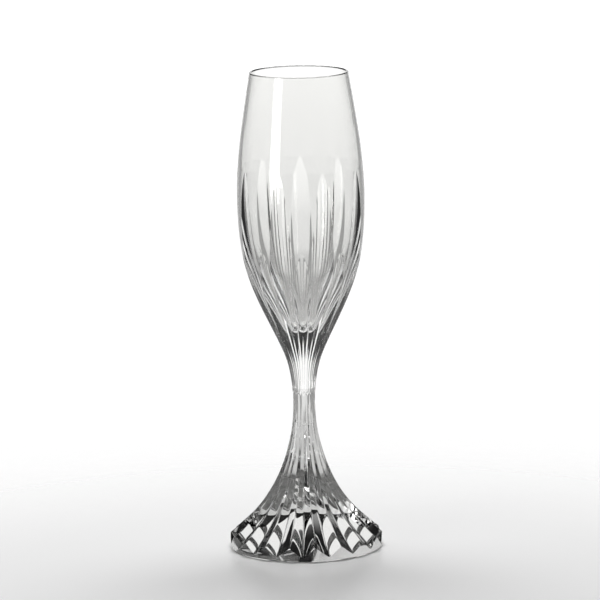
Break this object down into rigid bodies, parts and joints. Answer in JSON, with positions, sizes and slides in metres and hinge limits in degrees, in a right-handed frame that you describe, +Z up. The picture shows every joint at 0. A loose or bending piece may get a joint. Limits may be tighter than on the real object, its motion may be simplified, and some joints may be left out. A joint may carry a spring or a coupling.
{
  "type": "champagne flute",
  "caption": "Stemmed champagne flute of clear cut lead crystal: a tall tulip bowl with vertical wheel cuts on a short solid stem and a grooved trumpet foot.",
  "frame": {"origin": "centre of the flat underside of the foot, on the surface that the glass stands on", "axes": "+Z up along the axis of the glass; -Y is the front, which one of the short cuts of the bowl faces"},
  "size_m": [0.0686, 0.0686, 0.216],
  "materials": {
    "bowl_crystal": "fire-polished clear lead crystal, wheel cuts polished bright",
    "stem_crystal": "clear lead crystal, cuts polished bright",
    "foot_crystal": "clear lead crystal, V grooves and flat underside polished bright"
  },
  "bodies": {
    "root": {"bowl": "bowl_crystal", "stem": "stem_crystal", "foot": "foot_crystal"}
  },
  "joints": []
}
